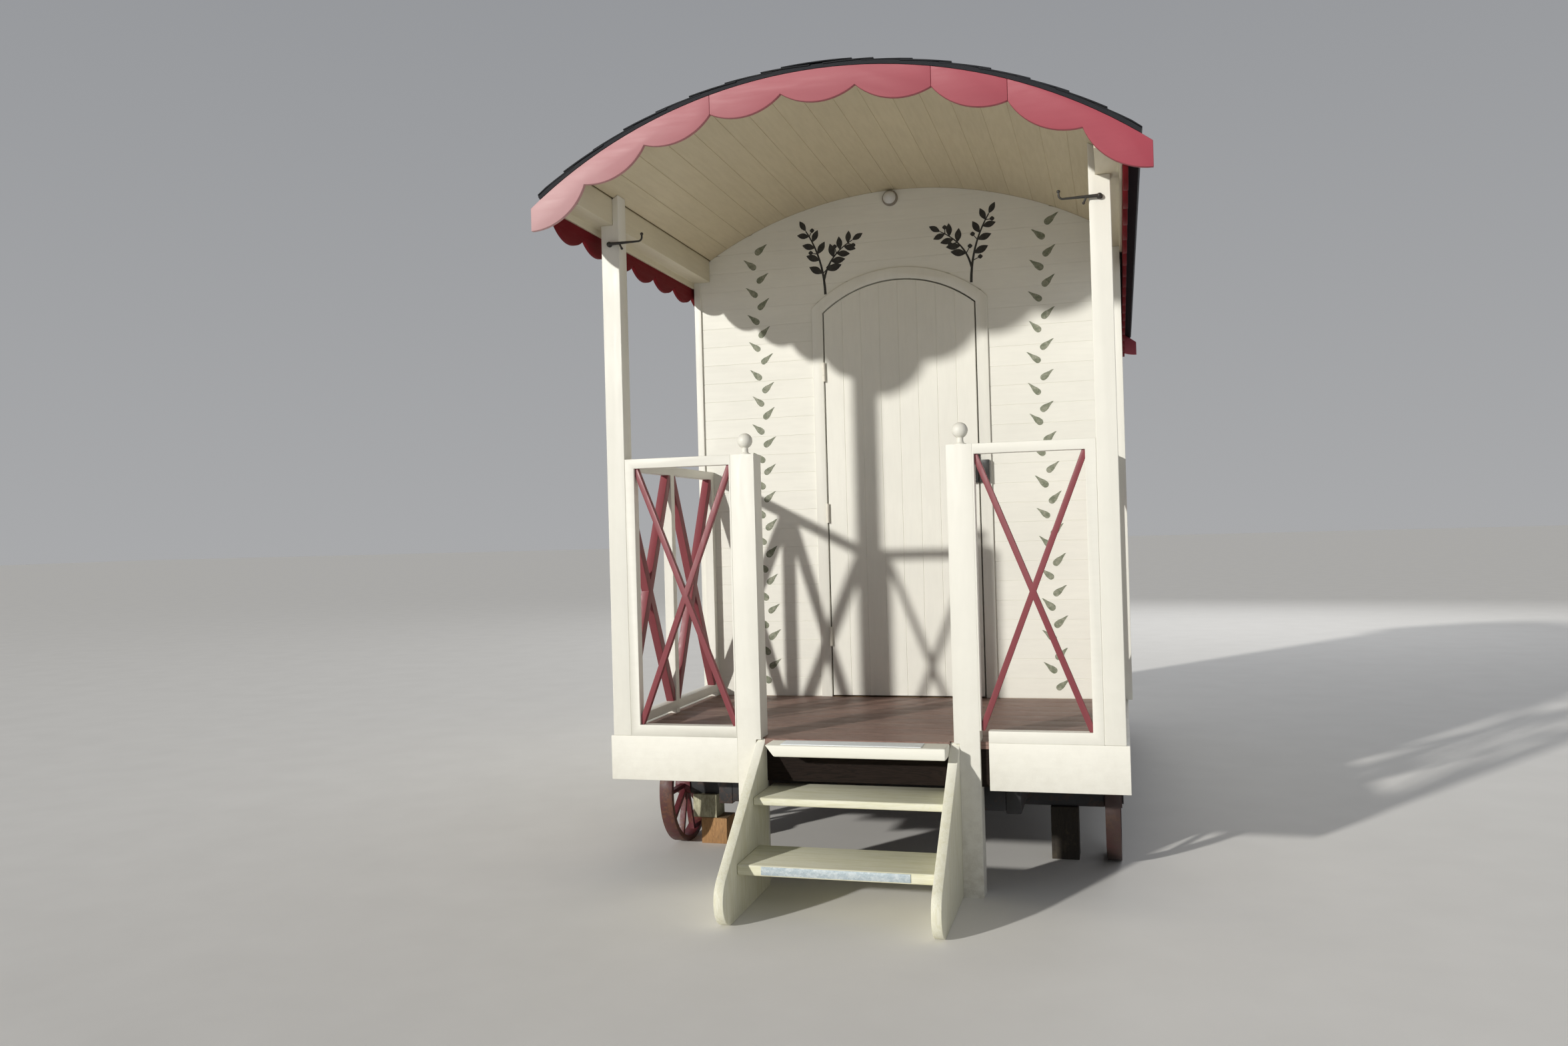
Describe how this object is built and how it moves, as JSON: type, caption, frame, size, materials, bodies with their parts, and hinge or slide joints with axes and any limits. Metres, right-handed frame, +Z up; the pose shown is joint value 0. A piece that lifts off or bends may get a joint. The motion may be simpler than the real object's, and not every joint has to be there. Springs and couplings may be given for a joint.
{
  "type": "shepherds hut",
  "caption": "Shepherds hut on spoked iron wheels, with a bowed roof, scalloped valances, a railed front porch, an arched door and timber steps.",
  "frame": {"origin": "on the ground, in the middle of the overall length and width", "axes": "+X to the right seen from the front, +Y from the steps towards the back wall, +Z up"},
  "size_m": [2.368, 4.9659, 3.177],
  "materials": {
    "cream_paint": "cream satin paint on timber boards",
    "white_paint": "off-white satin paint on timber",
    "red_paint": "dark red satin paint on timber",
    "valance_paint": "faded dark red paint on timber",
    "deck_board": "brown stained timber",
    "floor_timber": "brown treated timber",
    "treated_pine": "pale treated pine",
    "packing_block": "weathered sawn timber",
    "roof_sheet": "black roofing sheet",
    "chassis_iron": "dark painted iron",
    "wheel_iron": "dark red painted iron",
    "grip_metal": "worn ribbed strip",
    "painted_hinge": "cream paint over iron",
    "lock_black": "black enamel",
    "light_glass": "pale frosted glass",
    "hook_iron": "black forged iron"
  },
  "bodies": {
    "hut": {"chassis_rails": "chassis_iron", "cross_members": "chassis_iron", "front_axle": "chassis_iron", "rear_axle": "chassis_iron", "front_wheels": "wheel_iron", "rear_wheels": "wheel_iron", "piers": "packing_block", "floor_frame": "floor_timber", "deck": "deck_board", "cabin_floor": "floor_timber", "front_fascias": "white_paint", "side_fascias": "white_paint", "step_cheeks": "treated_pine", "step_treads": "treated_pine", "tread_grips": "grip_metal", "outer_post_left": "white_paint", "outer_post_right": "white_paint", "newel_left": "white_paint", "newel_right": "white_paint", "front_rails": "white_paint", "front_braces": "red_paint", "side_rails_left": "white_paint", "side_rails_right": "white_paint", "side_braces": "red_paint", "eave_beams": "cream_paint", "front_wall_left": "cream_paint", "front_wall_right": "cream_paint", "front_wall_head": "cream_paint", "side_wall_left": "cream_paint", "side_wall_right": "cream_paint", "back_wall": "cream_paint", "corner_boards": "cream_paint", "ceiling": "cream_paint", "roof_covering": "roof_sheet", "front_valance": "valance_paint", "back_valance": "valance_paint", "side_valances": "valance_paint", "door_frame": "cream_paint", "frame_hinges": "painted_hinge", "lock_keep": "lock_black", "porch_light": "light_glass", "hooks": "hook_iron"},
    "door": {"door_leaf": "cream_paint", "leaf_hinges": "painted_hinge", "door_lock": "lock_black"}
  },
  "joints": [
    {"name": "door_hinge", "type": "hinge", "parent": "hut", "child": "door", "pos_m": [-0.3825, -0.69, 1.57], "axis": [0, 0, -1], "range_deg": [0, 100]}
  ]
}
